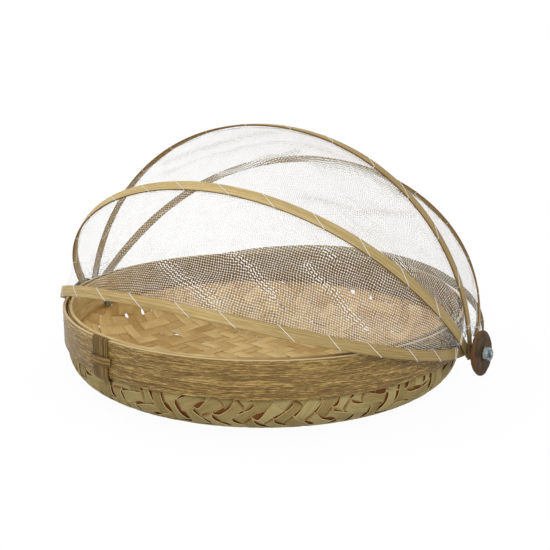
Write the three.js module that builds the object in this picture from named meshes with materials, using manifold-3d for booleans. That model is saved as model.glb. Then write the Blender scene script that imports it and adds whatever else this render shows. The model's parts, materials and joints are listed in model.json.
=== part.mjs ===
// Bamboo food cover: a round woven tray with a net hood on five hoops that fold to the back.
// Millimetres, +Z up. The origin is the centre of the tray's underside, the front is -Y,
// and the hoops turn about an axis along X.

import * as THREE from 'three';
import { mergeVertices } from 'three/addons/utils/BufferGeometryUtils.js';
import Module from 'manifold-3d';

const wasm = await Module();
wasm.setup();

// Tray
const rimRadius = 175; // outer face of the outer band
const trayHeight = 69; // underside to the top of the rim
const bandHeight = 30.5; // outer bent bamboo band
const bandThickness = 2.4;
const linerHeight = 28; // inner bent bamboo band
const linerThickness = 2.4;
const weaveThickness = 2.3; // woven bowl, two layers of splints
const weaveRelief = 0.75; // ribs of the weave above the hollows between them
const weaveTurn = 71; // degrees from the pivot axis to one set of splints
const weaveDrop = 1.5; // top of the woven wall below the top of the rim
const footRadius = 88; // flat part that stands on the table
const bowlFullness = 2.86; // 2 is an ellipse, more is squarer
const footRings = 7; // rows of the weave from the middle to the edge of the foot
const sideRings = 11; // and from there to the top of the wall
const bandGap = 0.4; // between the bands and the woven wall
const traySides = 80;

// Binding of the outer band's splice
const bindingAngle = 250; // degrees round the tray from +X
const bindingWidth = 19;
const bindingThickness = 0.9;
const bindingLap = 3.5; // how far it hangs below the band
const keyWidth = 26;
const keyHeight = 8.5;
const keyDrop = 17.5; // middle of the cross key below the rim
const bindingGap = 0.35;

// Pivot
const pivotDrop = 24; // axis below the top of the rim
const boltDiameter = 6;
const boltClearance = 0.35; // round the bolt, in every hole
const headDiameter = 10.5;
const headHeight = 2.4;
const washerDiameter = 13;
const washerThickness = 1;
const discDiameter = 38;
const discThickness = 4;
const discRound = 1.1; // worn edge of the disc
const discStandOff = 2.4; // from the last hoop to the disc
const nutAcrossFlats = 10;
const nutHeight = 5;
const boltTip = 1.6; // bolt beyond the nut
const boltChamfer = 0.6;
const faceGap = 0.35; // between faces that are clamped together

// Hoops
const stripWidth = 8.8;
const stripThickness = 1.5;
const stripEnd = 8; // of a strip, beyond the bolt
const hoopStandOff = 5.6; // from the band to the middle of the front hoop's strip
const hoodShift = 1.2; // how far the hoops have slid along their bolts to the right
const hoopPitch = 2.4; // from hoop to hoop along the bolt
const hoopShortfall = 5; // from the rim's radius to the crown of the front hoop
const hoopReachStep = 2; // each hoop clears the one in front of it
const hoopFullness = 3; // beyond half an ellipse, so that the hoops pass over the rim
const hoopSteps = 48;

// Each hoop's place: lift is the crown's angle above the front, bow turns the ends
// from the crown, and lean turns the right half against the left, all in degrees.
const hoops = [
  { name: 'hoop_1_front', lift: 19.1, bow: -6.2, lean: -3.7 },
  { name: 'hoop_2', lift: 52.7, bow: -10.5, lean: -2.1 },
  { name: 'hoop_3_crown', lift: 91.4, bow: -1.0, lean: -8.5 },
  { name: 'hoop_4', lift: 131.8, bow: 15.0, lean: 2.0 },
  { name: 'hoop_5_rear', lift: 170.2, bow: 6.5, lean: -2.2 },
];

// Netting
const netThickness = 0.8;
const netGap = 0.42; // under the strip that it is sewn to
const seamGap = 0.5; // between neighbouring panels, under the strip
const netStart = 9; // degrees round the hoop where the gathered ends begin
const netSag = 4.5; // slack in the middle of a panel
const foldDepth = 1.8;
const foldCount = 3; // soft folds between two hoops
const netSteps = 26;
const netRows = 10;
const netNames = ['net_1_front', 'net_2', 'net_3', 'net_4_rear'];

// Sizes that follow
const pivotHeight = trayHeight - pivotDrop;
const wallFoot = trayHeight - bandHeight;
const wallOuter = rimRadius - bandThickness - bandGap;
const wallInner = wallOuter - weaveThickness;
const linerOuter = wallInner - bandGap;
const linerInner = linerOuter - linerThickness;
const boltRadius = boltDiameter / 2;
const boreRadius = boltRadius + boltClearance;
const hoopReach = rimRadius - hoopShortfall;
const lastSpan = rimRadius + hoopStandOff + hoopPitch * (hoops.length - 1);
const discInner = lastSpan + hoodShift + stripThickness / 2 + discStandOff;
const nutInner = discInner + discThickness + faceGap;
const boltEnd = nutInner + nutHeight + boltTip;
const washerOuter = linerInner - faceGap;
const headOuter = washerOuter - washerThickness - faceGap;

// Finishes
function finish(color, roughness, metalness = 0) {
  return new THREE.MeshStandardMaterial({ color, roughness, metalness });
}
const splint = finish(0xa89263, 0.72);
const bandBamboo = finish(0xa8854a, 0.5);
const linerBamboo = finish(0xc19f68, 0.6);
const hoopBamboo = finish(0xbf9d62, 0.48);
const netting = finish(0xf1f1ee, 0.85);
const coconut = finish(0x5b3d22, 0.6);
const zinc = finish(0xa9b0b2, 0.35, 0.9);

const radians = THREE.MathUtils.degToRad;

// A geometry with shared corners, no empty faces, and its faces pointing out
function closed(geometry) {
  const bare = geometry.index ? geometry.clone() : geometry;
  bare.deleteAttribute('normal');
  bare.deleteAttribute('uv');
  const merged = mergeVertices(bare, 1e-4);
  const corners = merged.index.array;
  const kept = [];
  for (let i = 0; i < corners.length; i += 3) {
    const [a, b, c] = [corners[i], corners[i + 1], corners[i + 2]];
    if (a !== b && b !== c && c !== a) kept.push(a, b, c);
  }
  merged.setIndex(kept);
  if (volume(merged) < 0) merged.setIndex(flipped(kept));
  return merged;
}

function flipped(corners) {
  const turned = [];
  for (let i = 0; i < corners.length; i += 3) {
    turned.push(corners[i], corners[i + 2], corners[i + 1]);
  }
  return turned;
}

function volume(geometry) {
  const place = geometry.attributes.position;
  const corners = geometry.index.array;
  const a = new THREE.Vector3();
  const b = new THREE.Vector3();
  const c = new THREE.Vector3();
  let sum = 0;
  for (let i = 0; i < corners.length; i += 3) {
    a.fromBufferAttribute(place, corners[i]);
    b.fromBufferAttribute(place, corners[i + 1]);
    c.fromBufferAttribute(place, corners[i + 2]);
    sum += a.dot(b.cross(c)) / 6;
  }
  return sum;
}

// Booleans
function toSolid(geometry) {
  const source = closed(geometry);
  return new wasm.Manifold(
    new wasm.Mesh({
      numProp: 3,
      vertProperties: new Float32Array(source.attributes.position.array),
      triVerts: new Uint32Array(source.index.array),
    }),
  );
}

function toGeometry(solid) {
  const mesh = solid.getMesh();
  const geometry = new THREE.BufferGeometry();
  geometry.setAttribute('position', new THREE.BufferAttribute(mesh.vertProperties.slice(), 3));
  geometry.setIndex(Array.from(mesh.triVerts));
  return geometry;
}

function cut(geometry, ...cutters) {
  let solid = toSolid(geometry);
  for (const cutter of cutters) solid = solid.subtract(toSolid(cutter));
  return toGeometry(solid);
}

// A solid between two sheets of points of the same layout, closed along their borders. Each
// square folds from its first corner to its third, or across that where it is crossed.
function slab(outer, inner, crossed = () => false) {
  const rows = outer.length;
  const columns = outer[0].length;
  const points = [...outer.flat(), ...inner.flat()];
  const place = (side, row, column) => (side * rows + row) * columns + column;
  const faces = [];
  const quad = (a, b, c, d) => faces.push(a, b, c, a, c, d);
  for (let row = 0; row < rows - 1; row++) {
    for (let column = 0; column < columns - 1; column++) {
      const corners = [
        [row, column],
        [row, column + 1],
        [row + 1, column + 1],
        [row + 1, column],
      ];
      if (crossed(row, column)) corners.push(corners.shift());
      const [a, b, c, d] = corners.map((corner) => place(0, ...corner));
      quad(a, b, c, d);
      const [e, f, g, h] = corners.map((corner) => place(1, ...corner));
      quad(e, h, g, f);
    }
  }
  const border = [];
  for (let column = 0; column < columns - 1; column++) border.push([0, column]);
  for (let row = 0; row < rows - 1; row++) border.push([row, columns - 1]);
  for (let column = columns - 1; column > 0; column--) border.push([rows - 1, column]);
  for (let row = rows - 1; row > 0; row--) border.push([row, 0]);
  border.forEach(([row, column], i) => {
    const [nextRow, nextColumn] = border[(i + 1) % border.length];
    quad(
      place(0, nextRow, nextColumn),
      place(0, row, column),
      place(1, row, column),
      place(1, nextRow, nextColumn),
    );
  });
  const geometry = new THREE.BufferGeometry().setFromPoints(points);
  geometry.setIndex(faces);
  return geometry;
}

// Round pieces about Z, and round pieces about the pivot axis
function turned(profile, sides) {
  const outline = profile.map(([radius, height]) => new THREE.Vector2(radius, height));
  return closed(new THREE.LatheGeometry(outline, sides).rotateX(Math.PI / 2));
}

function turnedOnAxis(profile, sides) {
  const outline = profile.map(([radius, along]) => new THREE.Vector2(radius, along));
  return closed(new THREE.LatheGeometry(outline, sides).rotateZ(-Math.PI / 2));
}

function ring(innerRadius, outerRadius, low, high, sides) {
  return turned(
    [
      [innerRadius, low],
      [outerRadius, low],
      [outerRadius, high],
      [innerRadius, high],
      [innerRadius, low],
    ],
    sides,
  );
}

function rod(radius, from, to, sides) {
  return turnedOnAxis([[0, from], [radius, from], [radius, to], [0, to]], sides);
}

// The two holes that the bolts pass through, in pieces that lie round the tray
function boltHoles() {
  const reach = rimRadius + hoopStandOff;
  return [-1, 1].map((side) => {
    const hole = rod(boreRadius, linerInner / 2, reach, 20);
    return hole.scale(side, 1, 1).translate(0, 0, pivotHeight);
  });
}

// The side of the woven bowl from the foot's edge: a full curve, then an upright wall that
// stands between the two bands
function bowlSide() {
  const steps = 40;
  const points = [];
  for (let i = 0; i <= steps; i++) {
    const turn = (Math.PI / 2) * (i / steps);
    const along = Math.sin(turn) ** (2 / bowlFullness);
    const up = 1 - Math.cos(turn) ** (2 / bowlFullness);
    points.push(new THREE.Vector2(footRadius + (wallOuter - footRadius) * along, wallFoot * up));
  }
  points.push(new THREE.Vector2(wallOuter, trayHeight - weaveDrop));
  return new THREE.Path(points);
}

// The angle at which a place on a square grid lies once its square rings are drawn round
function ringAngle(a, b) {
  if (a === 0 && b === 0) return 0;
  if (Math.abs(a) >= Math.abs(b)) return (Math.PI / 4) * (b / a) + (a < 0 ? Math.PI : 0);
  return Math.PI / 2 - (Math.PI / 4) * (a / b) + (b < 0 ? Math.PI : 0);
}

// The bowl is a square mat shaped over the foot and up the sides. The ribs of its twill run
// as nested squares, with a hollow between each two, inside and on the curve outside.
function wovenBase() {
  const side = bowlSide();
  const rings = footRings + sideRings;
  const point = (a, b, isOuter) => {
    const ring = Math.max(Math.abs(a), Math.abs(b));
    const share = Math.max(ring - footRings, 0) / sideRings;
    const place = side.getPointAt(share);
    const way = side.getTangentAt(share);
    const onFoot = ring <= footRings;
    if (onFoot) {
      place.set((footRadius * ring) / footRings, 0);
      way.set(1, 0);
    }
    const isHollow = (a + b) % 2 !== 0 && place.y < wallFoot && !(isOuter && onFoot);
    const depth = isHollow ? weaveRelief : 0;
    const inset = isOuter ? depth : weaveThickness - depth;
    const radius = place.x - way.y * inset;
    const turn = ringAngle(a, b) + radians(weaveTurn);
    const height = place.y + way.x * inset;
    return new THREE.Vector3(radius * Math.cos(turn), radius * Math.sin(turn), height);
  };
  const sheet = (isOuter) => {
    const rows = [];
    for (let a = -rings; a <= rings; a++) {
      const row = [];
      for (let b = -rings; b <= rings; b++) row.push(point(a, b, isOuter));
      rows.push(row);
    }
    return rows;
  };
  const crossed = (row, column) => row < rings === column < rings;
  return cut(slab(sheet(true), sheet(false), crossed), ...boltHoles());
}

function outerBand() {
  const band = ring(rimRadius - bandThickness, rimRadius, wallFoot, trayHeight, traySides);
  return cut(band, ...boltHoles());
}

function innerBand() {
  const band = ring(linerInner, linerOuter, trayHeight - linerHeight, trayHeight, traySides);
  return cut(band, ...boltHoles());
}

// A short piece of bamboo lying on the outer band
function bandPatch(width, thickness, low, high, seat) {
  const steps = 6;
  const inner = rimRadius + seat;
  const sheet = (radius) => {
    const rows = [];
    for (const height of [low, high]) {
      const row = [];
      for (let i = 0; i <= steps; i++) {
        const turn = radians(bindingAngle) + (width / rimRadius) * (i / steps - 0.5);
        row.push(new THREE.Vector3(radius * Math.cos(turn), radius * Math.sin(turn), height));
      }
      rows.push(row);
    }
    return rows;
  };
  return slab(sheet(inner + thickness), sheet(inner));
}

function spliceBinding() {
  const low = wallFoot - bindingLap;
  return bandPatch(bindingWidth, bindingThickness, low, trayHeight, bindingGap);
}

function spliceKey() {
  const middle = trayHeight - keyDrop;
  const seat = bindingGap * 2 + bindingThickness;
  const half = keyHeight / 2;
  return bandPatch(keyWidth, bindingThickness, middle - half, middle + half, seat);
}

// Pieces on the bolts, made for the right side and mirrored for the left
function bolt() {
  const dome = [];
  const domeSteps = 4;
  for (let i = 0; i <= domeSteps; i++) {
    const turn = (Math.PI / 2) * (i / domeSteps);
    const radius = (headDiameter / 2) * Math.sin(turn);
    dome.push([radius, headOuter - headHeight * Math.cos(turn)]);
  }
  return turnedOnAxis(
    [
      ...dome,
      [boltRadius, headOuter],
      [boltRadius, boltEnd - boltChamfer],
      [boltRadius - boltChamfer, boltEnd],
      [0, boltEnd],
    ],
    20,
  );
}

function washer() {
  return cut(
    rod(washerDiameter / 2, washerOuter - washerThickness, washerOuter, 24),
    rod(boreRadius, linerInner / 2, rimRadius, 20),
  );
}

function coconutDisc() {
  const outer = discInner + discThickness;
  const radius = discDiameter / 2;
  const slope = discRound * 0.3;
  const solid = turnedOnAxis(
    [
      [0, discInner],
      [radius - discRound, discInner],
      [radius - slope, discInner + slope],
      [radius, discInner + discRound],
      [radius, outer - discRound],
      [radius - slope, outer - slope],
      [radius - discRound, outer],
      [0, outer],
    ],
    40,
  );
  return cut(solid, rod(boreRadius, discInner - 1, outer + 1, 20));
}

function nut() {
  const cornerRadius = nutAcrossFlats / Math.sqrt(3);
  const chamfer = cornerRadius - nutAcrossFlats / 2;
  const hexagon = rod(cornerRadius, nutInner, nutInner + nutHeight, 6);
  const rounded = turnedOnAxis(
    [
      [0, nutInner],
      [nutAcrossFlats / 2, nutInner],
      [cornerRadius + chamfer, nutInner + chamfer],
      [cornerRadius + chamfer, nutInner + nutHeight - chamfer],
      [nutAcrossFlats / 2, nutInner + nutHeight],
      [0, nutInner + nutHeight],
    ],
    30,
  );
  const blank = toGeometry(toSolid(hexagon).intersect(toSolid(rounded)));
  return cut(blank, rod(boreRadius, nutInner - 1, boltEnd, 20));
}

// A point of the hood: index may lie between two hoops, turn runs from the right pivot
// (0) to the left one, lift is the angle above the front, and outward is square to the hood.
function hoodPoint(index, turn, lift, outward) {
  const span = rimRadius + hoopStandOff + hoopPitch * index;
  const reach = hoopReach + hoopReachStep * index;
  const section = (at) => {
    const full = 1 + (hoopFullness / rimRadius) * Math.sin(2 * at) ** 2;
    return new THREE.Vector2(hoodShift + span * Math.cos(at) * full, reach * Math.sin(at) * full);
  };
  const small = 1e-4;
  const way = section(turn + small).sub(section(turn - small)).normalize();
  const place = section(turn).add(new THREE.Vector2(way.y, -way.x).multiplyScalar(outward));
  return new THREE.Vector3(
    place.x,
    -place.y * Math.cos(lift),
    pivotHeight + place.y * Math.sin(lift),
  );
}

// A hoop's angle at a place along its strip
function liftOf(index, turn) {
  const { lift, bow, lean } = hoops[index];
  return radians(lift + bow * (1 - Math.sin(turn)) + lean * Math.cos(turn));
}

function hoop(index) {
  const middle = (turn, outward) => hoodPoint(index, turn, liftOf(index, turn), outward);
  const half = stripWidth / 2;
  const sheet = (outward) => {
    const rows = [];
    for (let i = 0; i <= hoopSteps; i++) {
      const turn = Math.PI * (i / hoopSteps);
      const small = 1e-3;
      const way = middle(turn + small, 0).sub(middle(turn - small, 0)).normalize();
      const out = middle(turn, 1).sub(middle(turn, 0));
      const across = way.clone().cross(out).normalize();
      const centre = middle(turn, outward);
      const row = [-half, half].map((side) => centre.clone().addScaledVector(across, side));
      const shifted = (by) => row.map((corner) => corner.clone().addScaledVector(way, by));
      rows.push(row);
      if (i === 0) rows.unshift(shifted(-stripEnd));
      if (i === hoopSteps) rows.push(shifted(stripEnd));
    }
    return rows;
  };
  const strip = slab(sheet(stripThickness / 2), sheet(-stripThickness / 2));
  const span = rimRadius + hoopStandOff + hoopPitch * index;
  const bores = [-1, 1].map((side) =>
    rod(boreRadius, span - stripThickness, span + stripThickness, 20)
      .scale(side, 1, 1)
      .translate(hoodShift, 0, pivotHeight),
  );
  return cut(strip, ...bores);
}

// A panel of netting between a hoop and the next one, slack and softly folded between them
function netPanel(index) {
  const seat = -(stripThickness / 2 + netGap + netThickness / 2);
  const sheet = (side) => {
    const rows = [];
    for (let i = 0; i <= netSteps; i++) {
      const turn = radians(netStart + (180 - 2 * netStart) * (i / netSteps));
      const radius = (hoopReach + hoopReachStep * index) * Math.sin(turn);
      const seam = seamGap / 2 / radius;
      const from = liftOf(index, turn) + seam;
      const to = liftOf(index + 1, turn) - seam;
      const arc = radius * (to - from);
      const under = stripWidth / 2 + netGap;
      const row = [];
      for (let j = 0; j <= netRows; j++) {
        const share = j / netRows;
        const crossing = THREE.MathUtils.clamp((share * arc - under) / (arc - 2 * under), 0, 1);
        const middle = Math.sin(Math.PI * share) * Math.sin(turn) ** 2;
        const fold = foldDepth * Math.cos(2 * Math.PI * foldCount * share) * middle;
        const inward = netSag * middle + fold;
        const lift = from + (to - from) * share;
        const outward = seat - inward + side * (netThickness / 2);
        row.push(hoodPoint(index + crossing, turn, lift, outward));
      }
      rows.push(row);
    }
    return rows;
  };
  return slab(sheet(1), sheet(-1));
}

// Assembly
const foodCover = new THREE.Group();

function add(name, geometry, material, parent = foodCover) {
  const solid = closed(geometry);
  solid.computeVertexNormals();
  const mesh = new THREE.Mesh(solid, material);
  mesh.name = name;
  parent.add(mesh);
}

add('woven_base', wovenBase(), splint);
add('outer_rim_band', outerBand(), bandBamboo);
add('inner_rim_band', innerBand(), linerBamboo);
add('splice_binding', spliceBinding(), bandBamboo);
add('splice_key', spliceKey(), bandBamboo);

for (const [side, turn] of [['right', 0], ['left', Math.PI]]) {
  const pivot = new THREE.Group();
  pivot.position.z = pivotHeight;
  pivot.rotation.z = turn;
  foodCover.add(pivot);
  add(`pivot_bolt_${side}`, bolt(), zinc, pivot);
  add(`bolt_washer_${side}`, washer(), zinc, pivot);
  add(`coconut_disc_${side}`, coconutDisc(), coconut, pivot);
  add(`hex_nut_${side}`, nut(), zinc, pivot);
}

hoops.forEach(({ name }, index) => add(name, hoop(index), hoopBamboo));
netNames.forEach((name, index) => add(name, netPanel(index), netting));

export default foodCover;
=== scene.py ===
import json
import math

import bmesh
import bpy
import numpy as np
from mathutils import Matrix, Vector, noise

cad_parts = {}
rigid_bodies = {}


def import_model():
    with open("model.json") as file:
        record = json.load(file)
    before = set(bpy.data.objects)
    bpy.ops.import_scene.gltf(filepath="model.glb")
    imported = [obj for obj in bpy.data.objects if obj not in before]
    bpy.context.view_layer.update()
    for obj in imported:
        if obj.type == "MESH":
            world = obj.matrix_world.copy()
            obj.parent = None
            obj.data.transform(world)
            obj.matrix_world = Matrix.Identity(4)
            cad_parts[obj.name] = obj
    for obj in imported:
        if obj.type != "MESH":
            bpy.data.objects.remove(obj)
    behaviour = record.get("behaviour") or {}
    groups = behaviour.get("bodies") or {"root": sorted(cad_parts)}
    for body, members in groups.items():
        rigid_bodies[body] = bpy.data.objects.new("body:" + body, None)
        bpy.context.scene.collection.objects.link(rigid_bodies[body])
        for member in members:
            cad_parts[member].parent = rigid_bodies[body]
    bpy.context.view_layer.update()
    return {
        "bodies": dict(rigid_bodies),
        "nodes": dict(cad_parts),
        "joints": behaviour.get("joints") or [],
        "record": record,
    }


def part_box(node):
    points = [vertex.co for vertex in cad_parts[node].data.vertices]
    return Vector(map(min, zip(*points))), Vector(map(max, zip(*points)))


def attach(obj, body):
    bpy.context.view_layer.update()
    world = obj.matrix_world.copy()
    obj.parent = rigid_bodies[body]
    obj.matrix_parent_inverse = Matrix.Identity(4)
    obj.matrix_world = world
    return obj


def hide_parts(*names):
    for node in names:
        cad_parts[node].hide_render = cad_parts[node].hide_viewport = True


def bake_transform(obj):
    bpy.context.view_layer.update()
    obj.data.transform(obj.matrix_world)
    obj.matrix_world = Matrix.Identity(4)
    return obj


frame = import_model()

# What every piece is measured from
bandLow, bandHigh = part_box("outer_rim_band")
linerLow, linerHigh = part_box("inner_rim_band")
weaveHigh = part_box("woven_base")[1]
discLow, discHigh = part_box("coconut_disc_right")
nutLow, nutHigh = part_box("hex_nut_right")
boltLow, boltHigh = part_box("pivot_bolt_right")
washerLow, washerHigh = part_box("bolt_washer_right")
rimRadius = bandHigh.x
rimTop = bandHigh.z
axisHeight = (discLow.z + discHigh.z) / 2
linerRise = 0.0048  # how far the inner band stands up at the back and right


# Camera: a little above the rim, from the front and right
cameraPlace = {
    "distance": 0.89,
    "azimuth": 26,
    "elevation": 15.4,
    "lens": 65.71,
    "shiftX": 0.0206,
    "shiftY": 0.0387,
}


def added(name, data):
    thing = bpy.data.objects.new(name, data)
    bpy.context.scene.collection.objects.link(thing)
    return thing


def aimed(name, data, place, way):
    thing = added(name, data)
    thing.location = place
    thing.rotation_mode = "QUATERNION"
    thing.rotation_quaternion = way.to_track_quat("-Z", "Y")
    return thing


def addCamera():
    azimuth = math.radians(cameraPlace["azimuth"])
    elevation = math.radians(cameraPlace["elevation"])
    level = math.cos(elevation)
    away = Vector((level * math.sin(azimuth), -level * math.cos(azimuth), math.sin(elevation)))
    data = bpy.data.cameras.new("camera")
    data.lens = cameraPlace["lens"]
    data.shift_x = cameraPlace["shiftX"]
    data.shift_y = cameraPlace["shiftY"]
    data.clip_start = 0.05
    place = Vector((0, 0, rimTop)) + away * cameraPlace["distance"]
    bpy.context.scene.camera = aimed("camera", data, place, -away)


addCamera()
print("camera placed")


# Shader building: sums are written as Python expressions
def mathNode(operation, turned=False):  # turned: the wire is the second of the two
    def work(self, other):
        return self.reckon(operation, *((other, self) if turned else (self, other)))
    return work


class Wire:
    def __init__(self, shader, socket):
        self.shader = shader
        self.socket = socket

    def reckon(self, operation, *values):
        return self.shader.node("ShaderNodeMath", {"operation": operation}, values)

    __add__, __radd__ = mathNode("ADD"), mathNode("ADD", True)
    __sub__, __rsub__ = mathNode("SUBTRACT"), mathNode("SUBTRACT", True)
    __mul__, __rmul__ = mathNode("MULTIPLY"), mathNode("MULTIPLY", True)
    __truediv__, __rtruediv__ = mathNode("DIVIDE"), mathNode("DIVIDE", True)
    __lt__, __gt__ = mathNode("LESS_THAN"), mathNode("GREATER_THAN")
    most = mathNode("MAXIMUM")

    def size(self):
        return self.reckon("ABSOLUTE", self)

    def wave(self, half):  # a zigzag from 0 to half and back
        return self.reckon("PINGPONG", self, half)


class Shader:
    def __init__(self, owner):
        owner.use_nodes = True
        self.owner = owner
        self.tree = owner.node_tree
        self.tree.nodes.clear()

    def node(self, kind, settings, inputs, output=0):
        made = self.tree.nodes.new(kind)
        for key, value in settings.items():
            if key == "stops":
                fillRamp(made.color_ramp.elements, value)
            else:
                setattr(made, key, value)
        pairs = inputs.items() if isinstance(inputs, dict) else enumerate(inputs)
        for key, value in pairs:
            if isinstance(value, Wire):
                self.tree.links.new(value.socket, made.inputs[key])
            else:
                made.inputs[key].default_value = value
        return Wire(self, made.outputs[output]) if made.outputs else None

    def attribute(self, name, output="Vector"):
        return self.node("ShaderNodeAttribute", {"attribute_name": name}, {}, output)

    def place(self):
        return self.node("ShaderNodeTexCoord", {}, {}, "Object")

    def parts(self, vector):
        split = self.node("ShaderNodeSeparateXYZ", {}, [vector]).socket.node
        return [Wire(self, output) for output in split.outputs]

    def joined(self, x, y, z):
        return self.node("ShaderNodeCombineXYZ", {}, [x, y, z])

    def vectors(self, operation, *values):
        return self.node("ShaderNodeVectorMath", {"operation": operation}, values)

    def cloud(self, vector, factors, detail, roughness=0.55, shift=None):  # stretched noise
        vector = self.vectors("MULTIPLY", vector, factors)
        if shift is not None:
            vector = self.vectors("ADD", vector, shift)
        inputs = {"Vector": vector, "Scale": 1, "Detail": detail, "Roughness": roughness}
        return self.node("ShaderNodeTexNoise", {}, inputs)

    def ramp(self, value, *stops):
        return self.node("ShaderNodeValToRGB", {"stops": stops}, [value])

    def ease(self, value, low, high, start=0, end=1):
        settings = {"interpolation_type": "SMOOTHSTEP"}
        return self.node("ShaderNodeMapRange", settings, [value, low, high, start, end])

    def mix(self, factor, first, second):
        settings = {"data_type": "RGBA", "clamp_factor": True}
        return self.node("ShaderNodeMix", settings, {0: factor, 6: first, 7: second}, 2)

    def surface(self, color, roughness, gloss, relief=None, **others):
        inputs = {"Base Color": color, "Roughness": roughness, "Specular IOR Level": gloss}
        if relief:
            relief = dict(zip(("Height", "Distance", "Strength"), relief))
            others["Normal"] = self.node("ShaderNodeBump", {}, relief)
        return self.finish(self.node("ShaderNodeBsdfPrincipled", {}, {**inputs, **others}))

    def finish(self, shade):
        self.node("ShaderNodeOutputMaterial", {}, {"Surface": shade})
        return self.owner


def newShader(name):
    return Shader(bpy.data.materials.new(name))


def fillRamp(elements, stops):
    while len(elements) < len(stops):
        elements.new(1)
    for element, (position, color) in zip(elements, stops):
        element.position = position
        element.color = color


def tint(red, green, blue):  # a colour on screen, from 0 to 255
    def straight(value):
        value = value / 255
        return value / 12.92 if value <= 0.04045 else ((value + 0.055) / 1.055) ** 2.4
    return (straight(red), straight(green), straight(blue), 1)


# Materials
splintFinish = {
    "outer": tint(161, 146, 99),
    "outerDark": tint(118, 98, 54),
    # The two deep tints are painted shade: the dark red-brown seen in the gaps where a splint lies
    # under the other set
    "outerGapShade": tint(106, 60, 26),
    "inner": tint(226, 198, 139),
    "innerDark": tint(174, 139, 82),
    "innerGapShade": tint(142, 88, 44),
    "edge": tint(182, 160, 108),
    "fibres": (1 / 0.02, 1 / 0.0006, 0),
    "patches": (55, 90, 0),
    "bump": 0.0003,
    "roughness": 0.6,
    "gloss": 0.12,
}


def splintMaterial():
    look = splintFinish
    shader = newShader("splint")
    grain = shader.attribute("grain")
    tone = shader.attribute("tone", "Fac")
    # painted shade: faces lying under the crossing splint turn to the deep tint
    hidden = shader.attribute("hidden", "Fac")
    outward = shader.parts(grain)[2]
    seed = shader.joined(0, 0, tone * 37)
    fibre = shader.cloud(grain, look["fibres"], 3, 0.6, seed)
    patch = shader.cloud(grain, look["patches"], 2, shift=seed)
    shade = fibre * 1.3 + patch * 0.7 + tone * 0.7 - 0.85
    inner, outer = [
        shader.mix(hidden, shader.mix(shade, look[face + "Dark"], look[face]), look[face + "GapShade"])
        for face in ("inner", "outer")
    ]
    color = shader.mix(shader.ease(outward, -0.2, 0.2), inner, outer)
    edge = (1 - shader.ease(outward.size(), 0.25, 0.9)) * (1 - hidden)
    color = shader.mix(edge, color, look["edge"])
    relief = (fibre * 0.6 + patch * 0.4, look["bump"], 0.6)
    return shader.surface(color, look["roughness"] + fibre * 0.15, look["gloss"], relief)


bandFinish = {
    "light": tint(214, 180, 108),
    "middle": tint(118, 90, 36),
    "dark": tint(74, 54, 16),
    "edge": tint(198, 172, 122),
    "fibres": (42, 42, 2200),
    "dashes": (200, 200, 2400),
    "bands": (5, 5, 240),
    "edgeDepth": 0.0006,
    "bump": 0.002,
    "shine": 0.3,
    "gloss": 0.34,
}


def bandMaterial(name, look, edgeHeight):
    shader = newShader(name)
    place = shader.place()
    across, back, height = shader.parts(place)
    fibre = shader.cloud(place, look["fibres"], 3, 0.65)
    dash = shader.cloud(place, look["dashes"], 2, 0.6)
    band = shader.cloud(place, look["bands"], 3, 0.6)
    shade = fibre * 0.5 + dash * 0.35 + band * 0.15
    color = shader.ramp(shade, (0.38, look["dark"]), (0.5, look["middle"]), (0.62, look["light"]))
    if "far" in look:  # painted shade: the back and the right are darker and browner, as in the shade of the net
        far = shader.ease(back.most(across - look["farShadeAside"]), *look["farShadeFrom"]) * look["farShadeShare"]
        color = shader.mix(far, color, look["far"])
    rim = shader.ease(height, edgeHeight - look["edgeDepth"], edgeHeight)
    color = shader.mix(rim, color, look["edge"])
    relief = (fibre * 0.6 + band * 0.4, look["bump"], 0.8)
    return shader.surface(color, look["shine"] + fibre * 0.22, look["gloss"], relief)


linerFinish = {
    "light": tint(218, 194, 140),
    "middle": tint(194, 168, 116),
    "dark": tint(162, 136, 88),
    "edge": tint(186, 160, 110),
    # painted shade colour for the back and the right of the liner
    "far": tint(106, 78, 34),
    "farShadeAside": 0.03,
    "farShadeFrom": (-0.06, 0.12),
    "farShadeShare": 0.75,
    "fibres": (14, 14, 900),
    "dashes": (60, 60, 400),
    "bands": (5, 5, 160),
    "edgeDepth": 0.0006,
    "bump": 0.0006,
    "shine": 0.5,
    "gloss": 0.12,
}

stripFinish = {
    "light": tint(204, 184, 134),
    "middle": tint(178, 154, 102),
    "dark": tint(148, 124, 76),
    # the cut sides: dark brown, partly their own colour and partly painted shade of the dark line
    # under each hoop
    "edge": tint(112, 86, 48),
    # painted shade colour, mixed in towards the right end of each hoop
    "rightShade": tint(112, 94, 56),
    "rightShadeFrom": (-0.02, 0.2),
    "rightShadeShare": 0.5,
    "fibres": (1 / 0.014, 1 / 0.0005, 0),
    "gloss": 0.16,
}

bindingFinish = {
    "light": tint(142, 116, 66),
    "middle": tint(98, 76, 38),
    "dark": tint(52, 36, 13),
    # painted shade: the dark outline along the binding's cut sides
    "edge": tint(44, 28, 10),
    "fibres": (1 / 0.05, 1 / 0.0013, 0),
    "gloss": 0.12,
}


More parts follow.
